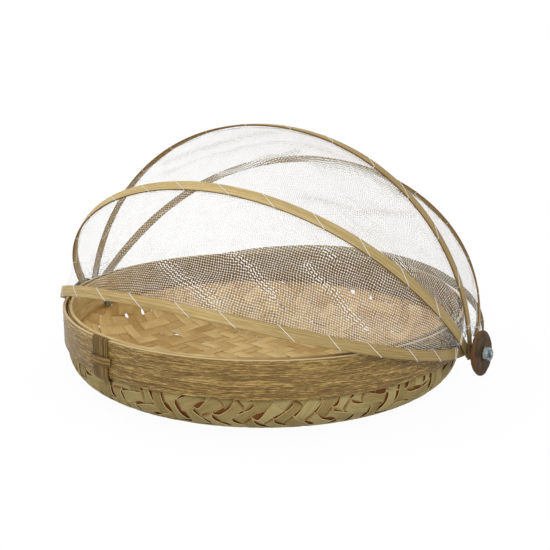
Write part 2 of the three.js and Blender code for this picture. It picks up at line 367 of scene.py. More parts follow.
def stripMaterial(name, look):
    shader = newShader(name)
    grain = shader.attribute("grain")
    tone = shader.attribute("tone", "Fac")
    outward = shader.parts(grain)[2]
    seed = shader.joined(0, 0, tone * 23)
    fibre = shader.cloud(grain, look["fibres"], 4, 0.65, seed)
    streak = shader.cloud(grain, (14, 1100, 0), 2, shift=seed)
    shade = fibre * 0.5 + streak * 0.4 + tone * 0.12
    color = shader.ramp(shade, (0.37, look["dark"]), (0.5, look["middle"]), (0.63, look["light"]))
    if "rightShade" in look:  # painted shade: darker and browner towards the right end, where less light falls
        rightShade = shader.ease(shader.parts(shader.place())[0], *look["rightShadeFrom"]) * look["rightShadeShare"]
        color = shader.mix(rightShade, color, look["rightShade"])
    # cut sides take the edge tint: partly their own colour, partly painted shade
    edge = 1 - shader.ease(outward.size(), 0.4, 0.8)
    color = shader.mix(edge, color, look["edge"])
    relief = (fibre * 0.6 + streak * 0.4, 0.0003, 0.6)
    return shader.surface(color, 0.42 + fibre * 0.2, look["gloss"], relief)


netFinish = {
    "thread": tint(226, 225, 221),
    "shaded": tint(124, 118, 108),
    "pitch": 0.0019,
    "threadShare": 0.035,
    "knotShare": 0.27,
    "uneven": 0.1,
    "patchy": 0.16,
    "drift": 6,
    "waver": 0.7,
    "pleat": 0.0024,
    "bunched": 0.102,
    "striped": 0.272,
    "gathered": 0.45,
    "gatheredShade": 0.25,
    "hemShare": 0.1,
    "thinned": 0.1,
    "thinFrom": (0.04, -0.13),
    "veiled": 0.45,
    "veiledFlat": 1.6,
    "veiledShade": 0.3,
    "gloss": 0.05,
}


def netMaterial():
    look = netFinish
    shader = newShader("netting")
    cloth = shader.attribute("cloth")
    lengthwise, crosswise, hem = shader.parts(cloth)
    aside, creased, gathered = shader.parts(shader.attribute("crease"))

    def uneven(scale, detail, shift=None):
        return shader.cloud(cloth, (scale, scale, 0), detail, shift=shift) - 0.5

    waver = uneven(150, 1)
    mottle = shader.ease(uneven(330, 2), -0.08, 0.1) - 0.4
    stripe = (aside / look["pleat"] + waver).wave(0.5) * 4 - 1
    extra = uneven(420, 1) * look["uneven"] + uneven(70, 2) * look["patchy"]
    extra = extra - hem * look["hemShare"]
    thinned = shader.ease(shader.parts(shader.place())[0], *look["thinFrom"]) * (1 - gathered)
    extra = extra - thinned * look["thinned"] + gathered * mottle * look["gathered"]
    veil = (creased - 1).most(0)  # net folded on itself
    creased = creased - veil * look["veiledFlat"]
    extra = extra + creased * (look["bunched"] + stripe * look["striped"]) + veil * look["veiled"]
    waver = waver * look["waver"]
    first, second = [
        (way / look["pitch"] + uneven(16, 2, (0, 0, seed)) * look["drift"] + waver).wave(0.5)
        for way, seed in ((lengthwise, 3), (crosswise, 8))
    ]
    half = look["threadShare"] + extra * 0.3
    thread = (first < half).most(second < half).most(first + second < look["knotShare"] + extra)
    # painted shade: threads darker in gathers, under veils and in the hollow half of each crease's
    # stripe
    shaded = gathered * look["gatheredShade"] + veil * look["veiledShade"] - creased * stripe
    color = shader.mix(shaded, look["thread"], look["shaded"])
    return shader.surface(color, 0.8, look["gloss"], Alpha=thread)


def threadMaterial():
    shader = newShader("sewingThread")
    strands = shader.cloud(shader.place(), (900, 900, 900), 2)
    color = shader.mix(strands, tint(222, 222, 222), tint(250, 250, 250))
    return shader.surface(color, 0.6, 0.2, (strands, 0.0001, 0.5))


shellFinish = {
    "light": tint(104, 76, 44),
    "middle": tint(60, 42, 22),
    "dark": tint(30, 20, 10),
    "worn": tint(90, 64, 36),
    "gloss": 0.15,
}


def shellMaterial():
    look = shellFinish
    shader = newShader("coconutShell")
    place = shader.place()
    cloud = shader.cloud(place, (500, 160, 120), 5, 0.65)
    fleck = shader.cloud(place, (900, 700, 320), 3, 0.6)
    shade = cloud * 0.7 + fleck * 0.3
    color = shader.ramp(shade, (0.34, look["dark"]), (0.5, look["middle"]), (0.7, look["light"]))
    edge = shader.attribute("edge", "Fac")
    worn = shader.ease(edge + fleck * 0.5, 0.9, 1.3)
    color = shader.mix(worn, color, look["worn"])
    relief = (cloud * 0.5 + fleck * 0.5, 0.0005, 0.7)
    return shader.surface(color, 0.48 + fleck * 0.25, look["gloss"], relief)


def zincMaterial():
    shader = newShader("zincPlate")
    place = shader.place()
    scuff = shader.cloud(place, (700, 700, 700), 4, 0.6)
    dull = shader.cloud(place, (260, 260, 260), 2)
    color = shader.mix(shader.ease(dull, 0.35, 0.65), tint(92, 102, 104), tint(166, 176, 176))
    roughness = shader.ease(scuff, 0.3, 0.7, 0.3, 0.5)
    return shader.surface(color, roughness, 0.5, (scuff, 0.00012, 0.5), Metallic=0.85)


splint = splintMaterial()
bandBamboo = bandMaterial("bandBamboo", bandFinish, rimTop)
linerBamboo = bandMaterial("linerBamboo", linerFinish, linerHigh.z + linerRise)
hoopBamboo = stripMaterial("hoopBamboo", stripFinish)
bindingBamboo = stripMaterial("bindingBamboo", bindingFinish)
netting = netMaterial()
sewingThread = threadMaterial()
coconutShell = shellMaterial()
zincPlate = zincMaterial()
print("materials made")


# Mesh building
def makePiece(name, points, faces, finish, closed=True, sharp=40, **values):
    mesh = bpy.data.meshes.new(name)
    mesh.from_pydata(np.asarray(points).reshape(-1, 3).tolist(), [], faces)
    for key, data in values.items():
        data = np.asarray(data, np.float32)
        if data.ndim == 0:
            data = np.full(len(mesh.vertices), data)
        kind, field = ("FLOAT_VECTOR", "vector") if data.ndim == 2 else ("FLOAT", "value")
        mesh.attributes.new(key, kind, "POINT").data.foreach_set(field, data.ravel())
    if closed:
        shape = bmesh.new()
        shape.from_mesh(mesh)
        bmesh.ops.remove_doubles(shape, verts=shape.verts, dist=1e-7)
        bmesh.ops.recalc_face_normals(shape, faces=shape.faces)
        shape.to_mesh(mesh)
        shape.free()
    mesh.shade_smooth()
    mesh.set_sharp_from_angle(angle=math.radians(sharp))
    mesh.materials.append(finish)
    return added(name, mesh)


def onTray(piece, node):
    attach(piece, "tray")
    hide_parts(node)


def gridFaces(points, loopRows=False, loopColumns=False, start=0):
    rows, columns = points.shape[:2]
    row, column = np.mgrid[:rows - (not loopRows), :columns - (not loopColumns)]
    after, beside = (row + 1) % rows, (column + 1) % columns
    corners = ((row, column), (row, beside), (after, beside), (after, column))
    return np.stack([start + r * columns + c for r, c in corners], -1).reshape(-1, 4).tolist()


def rodFaces(points, start=0):  # rings in a row, with a cap at each end
    rows, columns = points.shape[:2]
    last = start + (rows - 1) * columns
    caps = [tuple(range(start + columns - 1, start - 1, -1)), tuple(range(last, last + columns))]
    return gridFaces(points, loopColumns=True, start=start) + caps


def circle(count):
    return np.linspace(0, 2 * math.pi, count, endpoint=False)


def unit(vectors):
    return vectors / np.linalg.norm(vectors, axis=-1, keepdims=True)


def together(*parts):  # x, y and z made one array of points
    return np.stack(np.broadcast_arrays(*parts), -1)


def perPoint(*parts):
    return together(*parts).reshape(-1, 3)


def walked(line):  # how far along a line each of its points is
    return np.concatenate([[0], np.cumsum(np.linalg.norm(np.diff(line, axis=0), axis=1))])


def sectionOf(width, thickness, edge, crown=0):  # half a strip's section, mirrored
    half, thick = width / 2, thickness / 2
    corner = [(half, -thick + edge), (half, thick - edge), (half - edge, thick)]
    side = corner + [(half * 0.5, thick + crown)]
    top = side + [(-across, outward) for across, outward in reversed(side)]
    bottom = [(-half + edge, -thick), (half - edge, -thick)]
    return np.array(top + bottom)


def sweep(centres, across, outward, section):
    across = section[..., :1] * across[:, None]
    return centres[:, None] + across + section[..., 1:] * outward[:, None]


def turnedRows(rows, sides, shape=None):  # rows of (x, radius) turned about the hinge axis
    angle = circle(sides)
    along, radius = np.array(rows).T[..., None] * np.ones(sides)
    if shape:
        along, radius = shape(angle[None], along, radius)
    return together(along, radius * np.cos(angle), axisHeight + radius * np.sin(angle))


def roughness(points, scale, seed):  # smooth noise from -1 to 1 at each point
    shift = Vector((seed * 7.3, seed * 3.1, seed * 5.7))
    values = [noise.noise(Vector(at) * scale + shift) for at in points.reshape(-1, 3).tolist()]
    return np.array(values).reshape(points.shape[:-1])


# Woven bowl: two sets of flat splints crossing in a twill, bent from a flat mat
bowl = {
    "pitch": 0.0112,
    "width": 1.02,
    "pinch": 0.5,
    "thickness": 0.0008,
    "edge": 0.0006,
    "rise": 0.00062,
    "wallThickness": 0.0023,
    "footRadius": 0.088,
    "fullness": 2.86,
    "stepsPerCrossing": 6,
    "turn": 71,
    "gaps": (
        (-2.5, 15.5, 0.0019), (-0.5, 15.5, 0.0018), (0.5, 11.5, 0.0014),
        (16.5, 3.5, 0.0015), (17.5, 2.5, 0.0013), (16.5, 1.5, 0.001),
    ),
    "otherGaps": 14,
    "otherSize": 0.001,
    "gapLength": 0.3,
    "stray": 0.05,
    "sway": (12, 30),
    "swaySize": 0.02,
    "crossing": 2.2,
    "rimMargin": 0.001,
    "ground": 0.00005,
}


def bowlSection():
    wall = weaveHigh.x
    foot = bowl["footRadius"]
    power = 2 / bowl["fullness"]
    turn = np.linspace(0, math.pi / 2, 160)
    radius = np.concatenate([[0], foot + (wall - foot) * np.sin(turn) ** power, [wall]])
    height = np.concatenate([[0], bandLow.z * (1 - np.cos(turn) ** power), [weaveHigh.z]])
    length = walked(together(radius, height))
    even = np.linspace(0, length[-1], 400)
    radius, height = np.interp(even, length, radius), np.interp(even, length, height)
    way = together(np.gradient(radius, even), np.gradient(height, even))
    for _ in range(6):
        way[1:-1] = (way[:-2] + way[1:-1] * 2 + way[2:]) / 4
    way = unit(way)
    out = together(way[:, 1], -way[:, 0])  # away from the food
    inset = bowl["wallThickness"] / 2
    return even, radius - out[:, 0] * inset, height - out[:, 1] * inset, out


def bowlPoint(section, u, v, outward):
    length, radius, height, out = section
    far = np.hypot(u, v)
    angle = np.arctan2(v, u)
    side = np.interp(far, length, radius) + np.interp(far, length, out[:, 0]) * outward
    up = np.interp(far, length, height) + np.interp(far, length, out[:, 1]) * outward
    return together(side * np.cos(angle), side * np.sin(angle), up)


def isOver(i, j):  # the twill turns back at the middle, so it makes nested diamonds
    return (np.abs(i) + np.abs(j)) % 4 < 2


def weaveBowl():
    section = bowlSection()
    reach = section[0][-1]
    pitch = bowl["pitch"]
    width = pitch * bowl["width"]
    thick, inset = bowl["thickness"] / 2, bowl["edge"]
    lift = np.array([0, thick, thick, 0, -thick, -thick])
    turn = math.radians(bowl["turn"])
    count = int(reach / pitch)
    chance = np.random.default_rng(5)
    others = chance.integers(-count, count, (bowl["otherGaps"], 2)) + 0.5
    gaps = [*bowl["gaps"], *[(x, y, bowl["otherSize"]) for x, y in others]]
    points, faces, grains, tones, underShades = [], [], [], [], []
    total = 0
    for direction in (0, 1):
        for j in range(-count, count + 1):
            middle = (j + chance.uniform(-1, 1) * bowl["stray"]) * pitch
            tone = chance.uniform(0, 1)
            sway = chance.uniform(*bowl["sway"], 2)
            pinchTurn = chance.uniform(0, 6, 2)
            if abs(middle) + width / 2 > reach - bowl["rimMargin"]:
                continue
            half = math.sqrt(reach ** 2 - (abs(middle) + width / 2) ** 2)
            steps = max(int(2 * half / pitch * bowl["stepsPerCrossing"]), 4)
            along = np.linspace(-half, half, steps)
            before = np.floor(along / pitch)
            share = np.clip((along / pitch - before - 0.5) * bowl["crossing"] + 0.5, 0, 1)
            share = share * share * (3 - 2 * share)
            here, ahead = [np.where(isOver(before + k, j), 1.0, -1.0) for k in (0, 1)]
            level = (here * (1 - share) + ahead * share) * (-1 if direction else 1)
            outside = np.clip((level - 0.2) / 0.8, 0, 1)
            halves = []
            for side, rate, start in zip((1, -1), sway, pinchTurn):
                uneven = np.clip(0.55 + 0.7 * np.sin(along * rate * 7 + start), 0, 1)
                edge = width / 2 * (1 - bowl["pinch"] * outside * uneven)
                for gap in gaps:
                    if gap[1 - direction] == j + side / 2:
                        away = (along - gap[direction] * pitch) / (pitch * bowl["gapLength"])
                        edge = edge - gap[2] * np.exp(-away ** 2)
                halves.append(edge)
            left, right = halves
            corners = (left, left - inset, inset - right, -right, inset - right, left - inset)
            across = middle + together(*corners)
            bent = np.sin(along * sway[0] + pinchTurn[1]) * pitch * bowl["swaySize"]
            across = across + bent[:, None]
            along, level = along[:, None], level[:, None]
            u, v = (along, across) if direction == 0 else (across, along)
            u, v = u * math.cos(turn) - v * math.sin(turn), u * math.sin(turn) + v * math.cos(turn)
            ring = bowlPoint(section, u, v, level * bowl["rise"] + lift)
            ring[..., 2] = np.maximum(ring[..., 2], bowl["ground"])
            faces += rodFaces(ring, total)
            points.append(ring.reshape(-1, 3))
            grains.append(perPoint(along, across - middle, lift / thick))
            tones.append(np.full(steps * 6, tone))
            # painted shade mask: near 1 on the faces of a splint that lies under the crossing one
            underShades.append(np.clip(-level * np.sign(lift) * 1.3, 0, 1).ravel())
            total += steps * 6
    return makePiece(
        "wovenBowl", np.concatenate(points), faces, splint, sharp=35,
        grain=np.concatenate(grains), tone=np.concatenate(tones), hidden=np.concatenate(underShades),
    )


onTray(weaveBowl(), "woven_base")
print("bowl woven")


# Rim bands: wide splits of bamboo bent round the weave
bands = {
    "outer": {"ridges": 30, "ridge": 0.00016, "wave": 0.0003, "rise": 0},
    "inner": {"ridges": 18, "ridge": 0.00006, "wave": 0.0002, "rise": linerRise},
    "thickness": 0.0027,
    "edge": 0.0005,
    "riseAt": 65,
    "riseReach": 45,
    "steps": 300,
}


def bandRing(name, look, low, high, seed, finish):
    chance = np.random.default_rng(seed)
    angle = circle(bands["steps"])
    outer, edge = high.x, bands["edge"]
    inner = outer - bands["thickness"]
    heights = np.linspace(low.z + edge, high.z - edge, look["ridges"])

    def ripple(size):  # goes round the ring and meets itself
        waves = sum(
            chance.normal() * np.sin(turns * angle + chance.uniform(0, 7)) / math.sqrt(turns)
            for turns in range(1, 7)
        )
        return waves * size

    lowEdge = low.z + ripple(look["wave"])
    columns = [(outer - edge, high.z)]
    columns += [(outer - abs(ripple(look["ridge"])), z) for z in heights[::-1]]
    columns += [(outer - edge, lowEdge), (inner + edge, lowEdge)]
    columns += [(inner + abs(ripple(look["ridge"])), z) for z in heights]
    columns += [(inner + edge, high.z)]
    radius, height = [together(*parts) for parts in zip(*columns)]
    rise = np.exp(-((np.degrees(angle) - bands["riseAt"]) / bands["riseReach"]) ** 4)
    height = height + (height - low.z) * (look["rise"] / (high.z - low.z) * rise)[:, None]
    points = together(radius * np.cos(angle)[:, None], radius * np.sin(angle)[:, None], height)
    faces = gridFaces(points, loopRows=True, loopColumns=True)
    return makePiece(name, points, faces, finish, sharp=50)


outerBand = bandRing("outerBand", bands["outer"], bandLow, bandHigh, 11, bandBamboo)
innerBand = bandRing("innerBand", bands["inner"], linerLow, linerHigh, 12, linerBamboo)
onTray(outerBand, "outer_rim_band")
onTray(innerBand, "inner_rim_band")
print("bands bent")


# Binding of the outer band's splice, tucked over the top and under the lower edge
binding = {
    "angle": 250,
    "width": 0.019,
    "thickness": 0.0009,
    "gap": 0.00035,
    "lap": 0.0035,
    "columns": 13,
    "ragged": 0.03,
    "keyWidth": 0.026,
    "keyHeight": 0.0085,
    "keyDrop": 0.0175,
}


def bindingPath():
    face = rimRadius + binding["gap"] + binding["thickness"] / 2
    top = rimTop + binding["gap"] + binding["thickness"] / 2
    low = bandLow.z - binding["lap"]
    inside = rimRadius - bands["thickness"] + 0.0002
    knots = [
        (inside, rimTop - 0.0008), (inside + 0.0005, top - 0.0001), (rimRadius - 0.0009, top),
        (face - 0.0003, rimTop - 0.0002), (face, rimTop - 0.0025), (face, rimTop - 0.012),
        (face + 0.0003, rimTop - 0.019), (face, bandLow.z + 0.004),
        (face - 0.0001, bandLow.z + 0.0005), (face - 0.0012, low + 0.0008),
        (face - 0.004, low - 0.0006),
    ]
    return smoothLine(np.array(knots), 60)


def smoothLine(knots, count):  # an even walk along a curve through the knots
    ends = np.concatenate([[2 * knots[0] - knots[1]], knots, [2 * knots[-1] - knots[-2]]])
    pieces = []
    for i in range(len(knots) - 1):
        a, b, c, d = ends[i:i + 4]
        t = np.linspace(0, 1, 16, endpoint=False)[:, None]
        bend = (2 * a - 5 * b + 4 * c - d) * t ** 2 + (3 * b - a - 3 * c + d) * t ** 3
        pieces.append(b + ((c - a) * t + bend) / 2)
    line = np.concatenate([*pieces, knots[-1:]])
    length = walked(line)
    even = np.linspace(0, length[-1], count)
    return together(*[np.interp(even, length, column) for column in line.T])


def spliceBinding():
    path = bindingPath()
    way = unit(np.gradient(path, axis=0))
    half = np.linspace(-0.5, 0.5, binding["columns"])
    half = np.concatenate([half, half[::-1]])
    side = np.repeat([1, -1], binding["columns"])
    thick = side * binding["thickness"] / 2 * (1 - 0.5 * (2 * half) ** 8)  # thinner at its edges
    radius, height = path[:, :1] + way[:, 1:] * thick, path[:, 1:] - way[:, :1] * thick
    step = np.arange(len(path))[:, None]
    across = half * binding["width"]
    turn = math.radians(binding["angle"])
    turn = turn + across * (1 + binding["ragged"] * np.sin(step * 0.5)) / rimRadius
    points = together(radius * np.cos(turn), radius * np.sin(turn), height)
    grain = perPoint(step * 0.0008, across, side)
    faces = rodFaces(points)
    return makePiece("spliceBinding", points, faces, bindingBamboo, grain=grain, tone=0.4)


def spliceKey():
    share = np.linspace(-0.5, 0.5, 25)
    angle = math.radians(binding["angle"]) + share * binding["keyWidth"] / rimRadius
    lift = 0.0002 + 0.0009 * np.clip((0.36 - abs(share)) * 9, 0, 1)  # rides over the binding
    radius = rimRadius + binding["gap"] + lift + binding["thickness"] / 2
    height = rimTop - binding["keyDrop"] + share * 0.0012
    tall = binding["keyHeight"] * (1 - 0.25 * (2 * abs(share)) ** 3)
    outward = together(np.cos(angle), np.sin(angle), 0)
    up = np.array([[0.0, 0.0, 1.0]])
    centres = outward * radius[:, None] + up * height[:, None]
    plain = sectionOf(1, binding["thickness"] * 0.9, 0.0002)
    section = plain[None] * together(tall, 1)[:, None]
    points = sweep(centres, up, outward, section)
    grain = perPoint((share * binding["keyWidth"])[:, None], section[..., 0], np.sign(plain[:, 1]))
    faces = rodFaces(points)
    return makePiece("spliceKey", points, faces, bindingBamboo, grain=grain, tone=0.8)


onTray(spliceBinding(), "splice_binding")
onTray(spliceKey(), "splice_key")
print("splice bound")


# Hood: five hoops that turn about one axis
hood = {
    "standOff": 0.0056,
    "pitch": 0.0024,
    "reach": 0.170,
    "reachStep": 0.002,
    "fullness": 0.003,
    "shift": 0.0012,
    "lift": (19.1, 52.7, 91.4, 131.8, 170.2),
    "bow": (-6.2, -10.5, -1.0, 15.0, 6.5),
    "lean": (-3.7, -2.1, -8.5, 2.0, -2.2),
    "bodies": ("front_hoop", "second_hoop", "crown_hoop", "fourth_hoop", "rear_hoop"),
    "nodes": ("hoop_1_front", "hoop_2", "hoop_3_crown", "hoop_4", "hoop_5_rear"),
}


def hoodPoint(index, turn, lift, outward):
    span = rimRadius + hood["standOff"] + hood["pitch"] * index
    reach = hood["reach"] + hood["reachStep"] * index
    fuller = hood["fullness"] / rimRadius
    full = 1 + fuller * np.sin(2 * turn) ** 2
    rate = 2 * fuller * np.sin(4 * turn)
    x, y = span * np.cos(turn) * full, reach * np.sin(turn) * full
    dx = span * (np.cos(turn) * rate - np.sin(turn) * full)
    dy = reach * (np.sin(turn) * rate + np.cos(turn) * full)
    size = np.hypot(dx, dy)
    x, y = x + dy / size * outward, y - dx / size * outward
    return together(hood["shift"] + x, -y * np.cos(lift), axisHeight + y * np.sin(lift))


def liftOf(index, turn):
    lift, bow, lean = [hood[part][index] for part in ("lift", "bow", "lean")]
    return np.radians(lift + bow * (1 - np.sin(turn)) + lean * np.cos(turn))


def hoopFrame(index, turn):  # the strip's middle line, with its way, across and out
    def middle(at, outward=0):
        return hoodPoint(index, at, liftOf(index, at), outward)
    small = 1e-3
    way = unit(middle(turn + small) - middle(turn - small))
    out = unit(middle(turn, 1) - middle(turn))
    across = unit(np.cross(way, out))
    return middle(turn), way, across, unit(np.cross(across, way))


strip = {
    "width": 0.0088,
    "thickness": 0.0015,
    "edge": 0.0003,
    "crown": 0.00012,
    "steps": 220,
    "endReach": (0.0079, 0.006, 0.006, 0.006, 0.006),
    "endRound": 0.0012,
    "endSteps": 6,
    "wobbles": ((0.035, 31), (0.02, 97)),
}


def hoopStrip(index):
    chance = np.random.default_rng(20 + index)
    turn = np.linspace(0, math.pi, strip["steps"])
    centres, way, across, out = hoopFrame(index, turn)
    corner = np.linspace(0, 1, strip["endSteps"])
    beyond = strip["endReach"][index] - strip["endRound"] * corner ** 2
    for end, sign in ((0, -1), (-1, 1)):  # the cut ends beyond the bolt
        tip = centres[end] + way[end] * sign * beyond[:, None]
        rows = [np.tile(frame[end], (len(beyond), 1)) for frame in (way, across, out)]
        parts = zip((tip, *rows), (centres, way, across, out))
        centres, way, across, out = [
            np.concatenate([old, new[::-1]] if end else [new, old]) for new, old in parts
        ]
    rounded = 1 - np.sqrt(1 - (1 - corner) ** 2 * 0.99)
    taper = 1 - 2 * strip["endRound"] / strip["width"] * rounded
    wide = np.concatenate([taper, np.ones(strip["steps"]), taper[::-1]])
    length = walked(centres)
    wobble = 1
    for size, rate in strip["wobbles"]:
        wobble = wobble + size * np.sin(length * rate + chance.uniform(0, 6))
    plain = sectionOf(strip["width"], strip["thickness"], strip["edge"], strip["crown"])
    section = np.repeat(plain[None], len(centres), 0)
    section[..., 0] *= (wide * wobble)[:, None]
    points = sweep(centres, across, out, section)
    side = np.clip(plain[:, 1] / (strip["thickness"] / 2), -1, 1)
    side = np.where(abs(plain[:, 0]) > strip["width"] / 2 - 1e-6, 0, side)
    grain = perPoint(length[:, None], section[..., 0], side)
    return makePiece(
        f"hoop{index + 1}", points, rodFaces(points), hoopBamboo,
        sharp=50, grain=grain, tone=chance.uniform(0, 1),
    )


for index, (body, node) in enumerate(zip(hood["bodies"], hood["nodes"])):
    piece = hoopStrip(index)
    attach(piece, body)
    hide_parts(node)
print("hoops bent")


# Net: a sheet between each two hoops, sewn on inside them
net = {
    "gap": 0.00082,
    "start": 4.5,
    "taut": 0.8,
    "fold": 0.0016,
    "folds": 3,
    "crumple": 0.0012,
    "steps": 300,
    "rows": 73,
    "nodes": ("net_1_front", "net_2", "net_3", "net_4_rear"),
    "hemWidth": 0.0048,
    "hemCut": 0.0112,
    "hemDrop": 1.45,
    "hemSeat": 0.45,
    "hemCurl": 0.0003,
    "hemSteps": 240,
    "gather": 11,
    "gatherDepth": 0.0011,
    "gathers": 8,
    "creaseDepth": 0.0012,
    "creaseSoft": 1.5,
    "gatherSpread": 0.02,
    "margin": 0.0004,
    "slack": 1.03,
}
# Creases: width, strength, then degrees round the hoop and share across the net
creases = (
    (
        (0.0042, 1, (101, 0.48), (94.5, 0.31), (89.5, 0.23), (84, 0.17), (80, 0.11)),
        (0.0030, 1, (77, 0.5), (72.5, 0.44), (70, 0.36), (66, 0.29)),
        (0.0020, 1, (57, 0.81), (53.5, 0.77)),
        (0.0026, 1, (59.5, 0.63), (56.5, 0.54), (51.5, 0.46), (47, 0.34), (42, 0.22)),
    ),
    (
        (0.0024, 1, (61.5, 0.47), (51.5, 0.38), (40.5, 0.26)),
        (0.0044, 1, (58, 0.2), (49, 0.19), (39, 0.17), (33.5, 0.16)),
        (0.0042, 2, (89, 0.2), (84.5, 0.39), (79, 0.59), (76, 0.72)),
        (0.0056, 2, (70, 0.66), (63, 0.76), (56, 0.87), (48, 0.93)),
    ),
    (
        (0.0036, 1, (128.5, 0.13), (120, 0.25), (106.5, 0.28), (92, 0.2)),
        (0.0030, 1, (132, 0.3), (112, 0.55), (96, 0.5), (76, 0.62)),
    ),
    (
        (0.0032, 1, (60, 0.3), (80, 0.55), (98, 0.4)),
    ),
)


def clothPlace(index, turn, share):  # metres along and across the flat net
    return (turn - math.pi / 2) * hood["reach"], (share - 0.5) * arcAt(index, turn)


def creaseAt(index, x, y):  # how far aside the nearest crease is, and how strong it is here
    nearest, strength = 1 + 0 * y, 0 * y
    for width, weight, *course in creases[index]:
        knots = [clothPlace(index, math.radians(degrees), share) for degrees, share in course]
        for (ax, ay), (bx, by) in zip(knots[:-1], knots[1:]):
            dx, dy = bx - ax, by - ay
            length = math.hypot(dx, dy)
            place = np.clip(((x - ax) * dx + (y - ay) * dy) / length ** 2, 0, 1)
            away = np.hypot(x - ax - dx * place, y - ay - dy * place)
            aside = ((x - ax) * dy - (y - ay) * dx) / length
            closer = away < np.abs(nearest)
            nearest = np.where(closer, np.copysign(away, aside), nearest)
            here = weight * np.exp(-(away / width / net["creaseSoft"]) ** 2)
            strength = np.maximum(strength, here)
    return nearest, strength


def arcAt(index, turn):
    radius = (hood["reach"] + hood["reachStep"] * (index + 0.5)) * np.sin(turn)
    return radius * (liftOf(index + 1, turn) - liftOf(index, turn))


def netPanel(index):
    turn = np.radians(np.linspace(net["start"], 180 - net["start"], net["steps"]))[:, None]
    share = np.linspace(0, 1, net["rows"])[None]
    across = np.sin(math.pi * share)
    start, end = liftOf(index, turn), liftOf(index + 1, turn)
    arc = arcAt(index, turn)
    under = strip["width"] / 2 + net["margin"]
    crossing = np.clip((share * arc - under) / np.maximum(arc - 2 * under, 1e-6), 0, 1)
    crossing = np.where(arc > 2 * under, crossing, share)
    half = np.abs(end - start) / 2
    straight = 1 - np.cos(half) / np.cos(half * (2 * share - 1))  # the chord between the hoops
    inward = net["taut"] * hood["reach"] * np.sin(turn) * straight
    folds = 1 + np.cos(2 * math.pi * net["folds"] * share)
    inward = inward + net["fold"] * folds * across * np.sin(turn) ** 2
    flat = together(turn, share * 0.6, index)
    crumple = roughness(flat, 5, 3) + 0.4 * roughness(flat, 15, 4)
    toEnd = np.degrees(np.minimum(turn, math.pi - turn)) - net["start"]
    gathered = np.exp(-(toEnd / net["gather"]) ** 2)
    pleats = np.sin(2 * math.pi * net["gathers"] * (share + 0.1 * roughness(flat, 8, 5)))
    x, y = clothPlace(index, turn, share)
    aside, creased = creaseAt(index, x, y)
    spread = (share - 0.5) * gathered * net["gatherSpread"]
    relief = net["crumple"] * crumple + net["gatherDepth"] * gathered * (1 + pleats)
    relief = relief - net["creaseDepth"] * np.minimum(creased, 1)
    inward = np.maximum(inward + relief * across, -0.0002)
    seat = -(strip["thickness"] / 2 + net["gap"])
    points = hoodPoint(index + crossing, turn, start + (end - start) * share, seat - inward)
    piece = makePiece(
        f"net{index + 1}", points, gridFaces(points), netting, closed=False, sharp=180,
        cloth=perPoint(x, y + spread, 0), crease=perPoint(aside, creased, gathered),
    )
    return piece, (share + 0 * turn).ravel(), points


for index, node in enumerate(net["nodes"]):
    panel, shares, points = netPanel(index)
    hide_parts(node)
    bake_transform(panel)
print("net hung")


# Hem: the net turned double under each hoop
def hemStrip(index):
    turn = np.radians(np.linspace(net["start"], 180 - net["start"], net["hemSteps"]))
    centres, _, across, out = hoopFrame(index, turn)
    share = np.linspace(-1, 1, 9)
    chance = np.random.default_rng(40 + index)
    fray = 1 + 0.08 * np.sin(turn * 61 + chance.uniform(0, 6)) + 0.06 * np.sin(turn * 23)
    sideways = share[None] * net["hemWidth"] * fray[:, None]
    if index == 0:
        sideways = np.maximum(sideways, -strip["width"] * 0.49)
    if index == 4:
        sideways = np.where(sideways > 0, sideways * net["hemDrop"], sideways)
    seat = strip["thickness"] / 2 + net["gap"] * net["hemSeat"]
    drop = seat + net["hemCurl"] * abs(share[None]) ** 4 * (1 + np.sin(turn * 90)[:, None])
    points = sweep(centres, across, out, together(sideways, -drop))
    lengthwise = (turn - math.pi / 2)[:, None] * hood["reach"]
    cloth = perPoint(lengthwise, sideways + net["margin"], 1)
    return makePiece(
        f"hem{index + 1}", points, gridFaces(points), netting, closed=False, sharp=180,
        cloth=cloth, crease=np.zeros_like(cloth),
    )


for index, body in enumerate(hood["bodies"]):
    hem = hemStrip(index)
    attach(hem, body)
print("hems turned")


# Whip stitches: one white thread wound round each hoop, with a few tight turns at its ends
stitch = {
    "radius": 0.00018,
    "clear": 0.0003,
    "behind": 0.0004,
    "slant": 4.3,
    "places": (
        (16, 25.9, 37.4, 48.2, 59.2, 72.9, 84.4, 98, 110.2, 123.3, 136, 149, 161),
        (21, 33.9, 46.2, 58.5, 71.2, 82.9, 95.5, 106.3, 118.5, 131, 144, 157),
        (18.9, 32.5, 45, 56.6, 69.3, 82, 95.9, 109, 122, 134, 147, 160),
        (19, 31, 44, 57.5, 70, 83, 96, 108.5, 121, 134, 147, 159),
        (18, 31.5, 44, 56, 69.5, 82, 95, 108, 120.5, 133, 146, 160),
    ),
    "wraps": (7.2, 172),
    "wrapTurns": 2,
    "wrapPitch": 0.6,
}


def tube(path, radius):
    way = unit(np.gradient(path, axis=0))
    aside = unit(np.cross(way, np.array([0.31, 0.87, 0.38])))
    other = np.cross(way, aside)
    cosine, sine = [part(circle(6))[:, None] for part in (np.cos, np.sin)]
    return path[:, None] + (cosine * aside[:, None] + sine * other[:, None]) * radius


